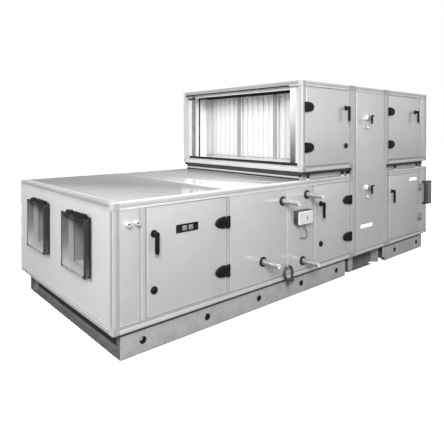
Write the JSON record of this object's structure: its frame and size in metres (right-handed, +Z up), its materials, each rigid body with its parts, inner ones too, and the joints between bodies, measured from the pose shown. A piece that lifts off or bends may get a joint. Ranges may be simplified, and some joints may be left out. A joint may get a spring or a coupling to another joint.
{
  "type": "air handling unit",
  "caption": "Two-deck modular air handling unit: framed sandwich panels on channel rails, hinged service doors with lever handles, flanged fan outlets, an open filter inlet and coil pipe stubs.",
  "frame": {"origin": "centre of the outer box, on the floor under the base rails", "axes": "+X along the length, from the fan outlets of the lower deck to the right sections; the service front with its doors looks towards -Y; +Z up"},
  "size_m": [4.79, 2.13, 2.08],
  "materials": {
    "panel_paint": "satin light grey paint on sheet steel",
    "frame_paint": "satin grey paint on extruded profile",
    "base_paint": "grey painted steel channel",
    "dark_rubber": "matt black rubber",
    "dark_steel": "dark painted sheet steel",
    "pale_steel": "pale painted steel",
    "black_plastic": "black moulded nylon",
    "white_plastic": "white moulded plastic",
    "grey_plastic": "dark grey plastic",
    "pipe_steel": "pale primed steel pipe",
    "galvanised": "galvanised sheet steel",
    "coil_fins": "bare aluminium fins",
    "filter_media": "white non-woven filter media"
  },
  "bodies": {
    "casing": {"base_long": "base_paint", "base_wheel": "base_paint", "base_right": "base_paint", "base_packers": "dark_rubber", "frame_long": "frame_paint", "frame_inlet": "frame_paint", "frame_wheel": "frame_paint", "frame_intake": "frame_paint", "frame_exhaust": "frame_paint", "top_panels": "panel_paint", "floor_panels": "panel_paint", "back_panels": "panel_paint", "end_panel_left": "panel_paint", "end_panel_right": "panel_paint", "front_panels": "panel_paint", "front_panel_wheel": "panel_paint", "wheel_side_panels": "panel_paint", "hinge_bases": "black_plastic", "test_points": "white_plastic", "pipe_stubs": "pipe_steel", "pipe_rosettes": "black_plastic", "thermostat_box": "white_plastic", "thermostat_lead": "grey_plastic", "drain_trap": "grey_plastic", "wheel_latches": "white_plastic", "drive_box": "grey_plastic", "stack_rails": "dark_steel", "stack_feet": "dark_rubber", "stack_curbs": "pale_steel", "fan_outlets": "dark_steel", "fan_housings": "galvanised", "coils": "coil_fins", "filter_frames": "galvanised", "filter_pockets": "filter_media", "inlet_jambs": "pale_steel"},
    "fan_door": {"fan_door": "panel_paint", "fan_door_fittings": "black_plastic"},
    "fan_handle": {"fan_door_handle": "black_plastic"},
    "filter_door": {"filter_door": "panel_paint", "filter_door_fittings": "black_plastic"},
    "filter_handle": {"filter_door_handle": "black_plastic"},
    "inlet_door": {"inlet_door": "panel_paint", "inlet_door_fittings": "black_plastic"},
    "inlet_handle": {"inlet_door_handle": "black_plastic"},
    "exhaust_door": {"exhaust_door": "panel_paint", "exhaust_door_fittings": "black_plastic"},
    "exhaust_handle": {"exhaust_door_handle": "black_plastic"},
    "intake_door": {"intake_door": "panel_paint", "intake_door_fittings": "black_plastic"},
    "intake_handle": {"intake_door_handle": "black_plastic"}
  },
  "joints": [
    {"name": "fan_door_hinge", "type": "hinge", "parent": "casing", "child": "fan_door", "pos_m": [-1.328, -0.891, 0.65], "axis": [0, 0, 1], "range_deg": [0, 110]},
    {"name": "fan_handle_turn", "type": "hinge", "parent": "fan_door", "child": "fan_handle", "pos_m": [-2.023, -0.883, 0.85], "axis": [0, -1, 0], "range_deg": [0, 90]},
    {"name": "filter_door_hinge", "type": "hinge", "parent": "casing", "child": "filter_door", "pos_m": [0.464, -0.891, 0.65], "axis": [0, 0, 1], "range_deg": [0, 110]},
    {"name": "filter_handle_turn", "type": "hinge", "parent": "filter_door", "child": "filter_handle", "pos_m": [-0.053, -0.883, 0.85], "axis": [0, -1, 0], "range_deg": [0, 90]},
    {"name": "inlet_door_hinge", "type": "hinge", "parent": "casing", "child": "inlet_door", "pos_m": [-0.286, -0.891, 1.63], "axis": [0, 0, -1], "range_deg": [0, 110]},
    {"name": "inlet_handle_turn", "type": "hinge", "parent": "inlet_door", "child": "inlet_handle", "pos_m": [0.393, -0.883, 1.83], "axis": [0, 1, 0], "range_deg": [0, 90]},
    {"name": "exhaust_door_hinge", "type": "hinge", "parent": "casing", "child": "exhaust_door", "pos_m": [1.333, -0.891, 1.63], "axis": [0, 0, -1], "range_deg": [0, 110]},
    {"name": "exhaust_handle_turn", "type": "hinge", "parent": "exhaust_door", "child": "exhaust_handle", "pos_m": [2.001, -0.883, 1.83], "axis": [0, 1, 0], "range_deg": [0, 90]},
    {"name": "intake_door_hinge", "type": "hinge", "parent": "casing", "child": "intake_door", "pos_m": [2.134, -0.891, 0.65], "axis": [0, 0, 1], "range_deg": [0, 110]},
    {"name": "intake_handle_turn", "type": "hinge", "parent": "intake_door", "child": "intake_handle", "pos_m": [1.377, -0.883, 0.85], "axis": [0, -1, 0], "range_deg": [0, 90]}
  ]
}
